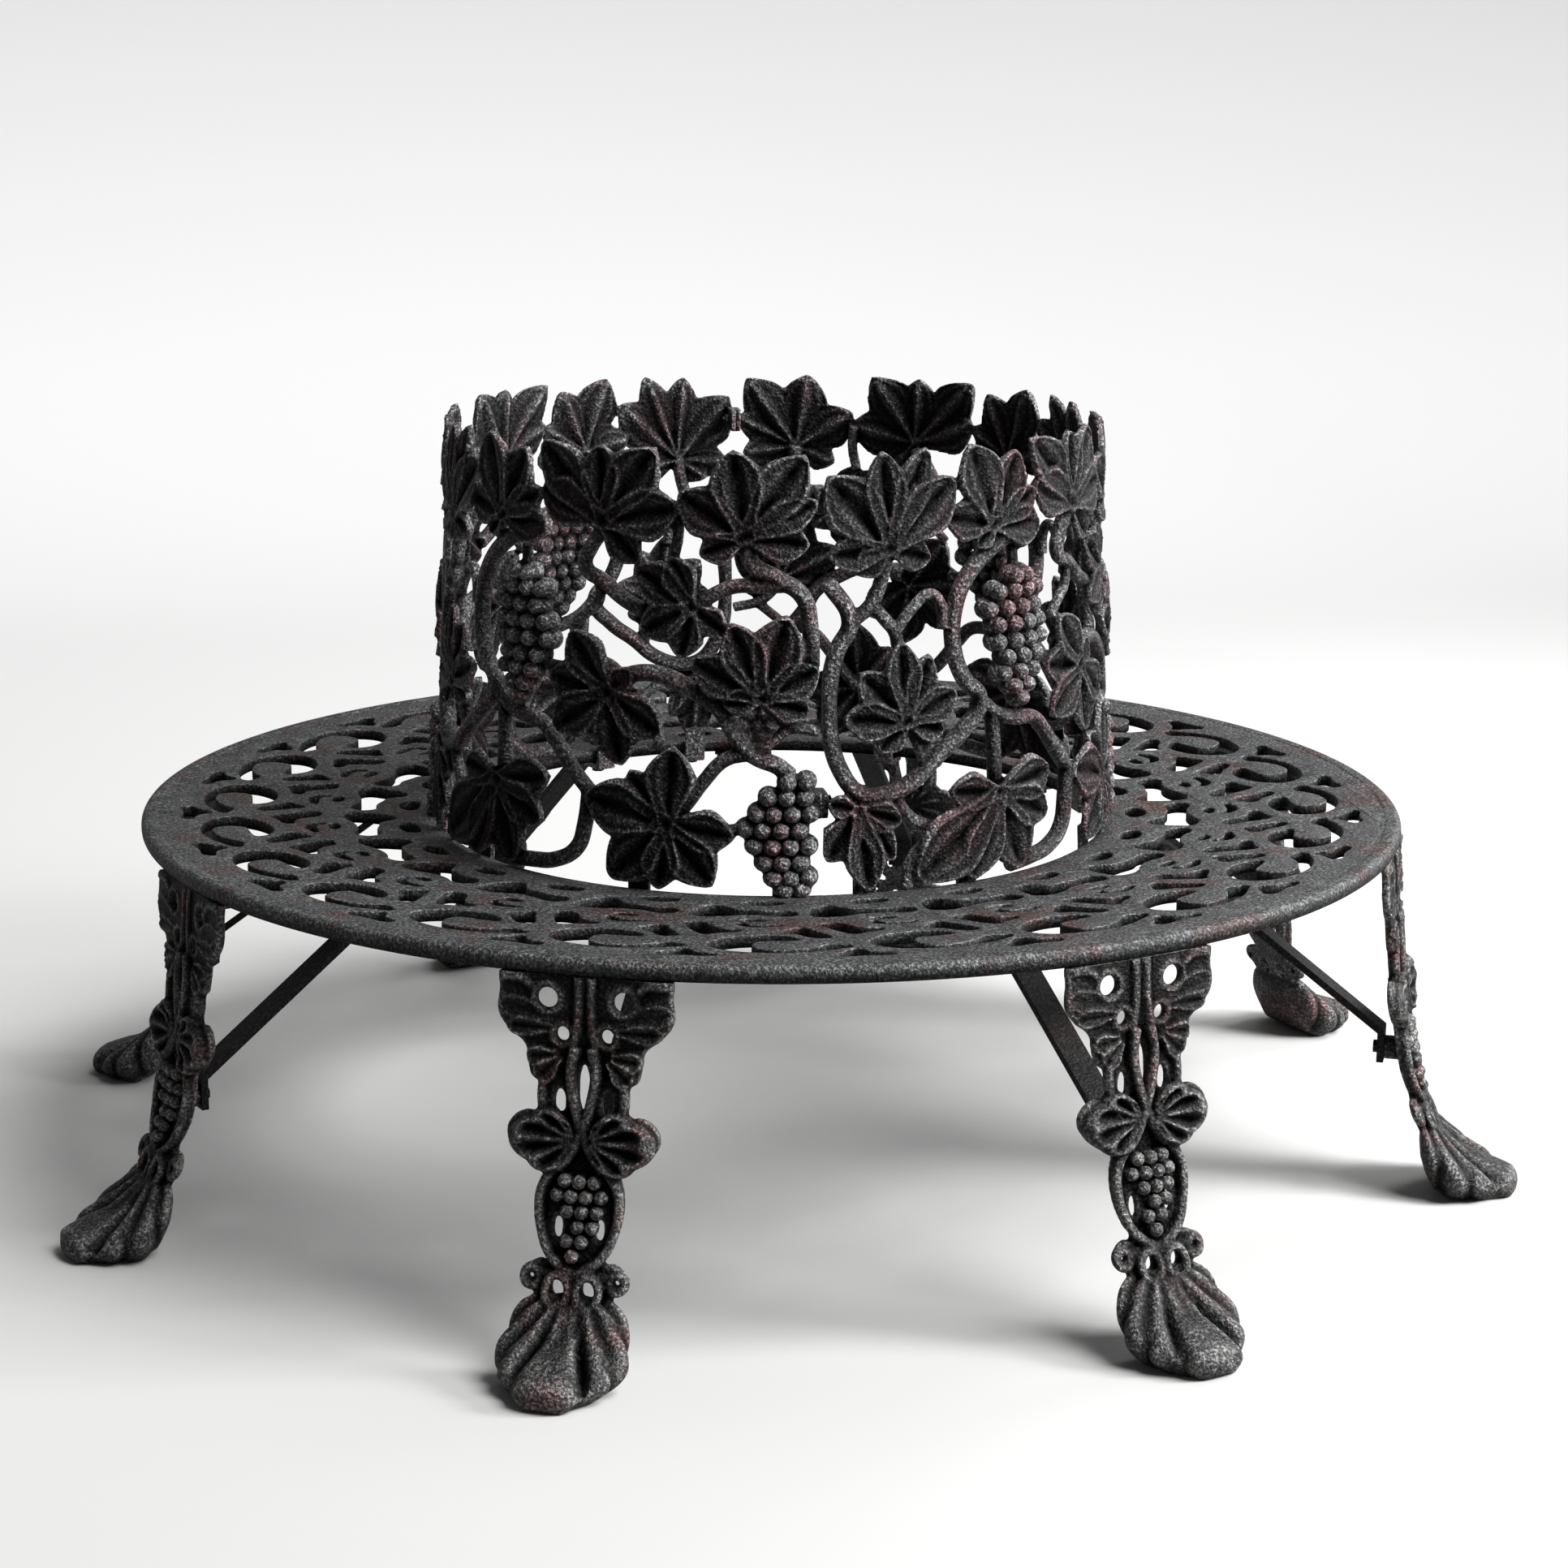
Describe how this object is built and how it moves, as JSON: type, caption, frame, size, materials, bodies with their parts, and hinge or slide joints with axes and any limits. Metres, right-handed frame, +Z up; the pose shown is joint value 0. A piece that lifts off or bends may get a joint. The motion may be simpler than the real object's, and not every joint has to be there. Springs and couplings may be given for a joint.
{
  "type": "tree bench",
  "caption": "Round cast-iron bench that stands round a tree trunk, with a pierced scroll seat, a grapevine back ring and leaf-footed legs on flat-bar braces.",
  "frame": {"origin": "on the floor in the middle of the ring", "axes": "+Z up; the four joints of the seat and back face -Y, +X, +Y and -X"},
  "size_m": [1.684, 1.684, 0.893],
  "materials": {
    "seat_iron": "worn, satin",
    "vine_iron": "sand-cast, old black paint",
    "leg_iron": "sand-cast, old black paint",
    "bar_iron": "wrought bar, dull black",
    "fastener_iron": "dull, slightly rusted"
  },
  "bodies": {
    "root": {"seat_quarter_1": "seat_iron", "seat_quarter_2": "seat_iron", "seat_quarter_3": "seat_iron", "seat_quarter_4": "seat_iron", "back_quarter_1": "vine_iron", "back_quarter_2": "vine_iron", "back_quarter_3": "vine_iron", "back_quarter_4": "vine_iron", "leg_1": "leg_iron", "leg_2": "leg_iron", "leg_3": "leg_iron", "leg_4": "leg_iron", "leg_5": "leg_iron", "leg_6": "leg_iron", "leg_7": "leg_iron", "leg_8": "leg_iron", "brace_1": "bar_iron", "brace_2": "bar_iron", "brace_3": "bar_iron", "brace_4": "bar_iron", "brace_5": "bar_iron", "brace_6": "bar_iron", "brace_7": "bar_iron", "brace_8": "bar_iron", "leg_screws": "fastener_iron", "brace_seat_screws": "fastener_iron", "brace_leg_screws": "fastener_iron", "back_foot_screws": "fastener_iron", "seat_joint_bolts": "fastener_iron", "seat_joint_nuts": "fastener_iron", "back_joint_bolts": "fastener_iron", "back_joint_nuts": "fastener_iron"}
  },
  "joints": []
}
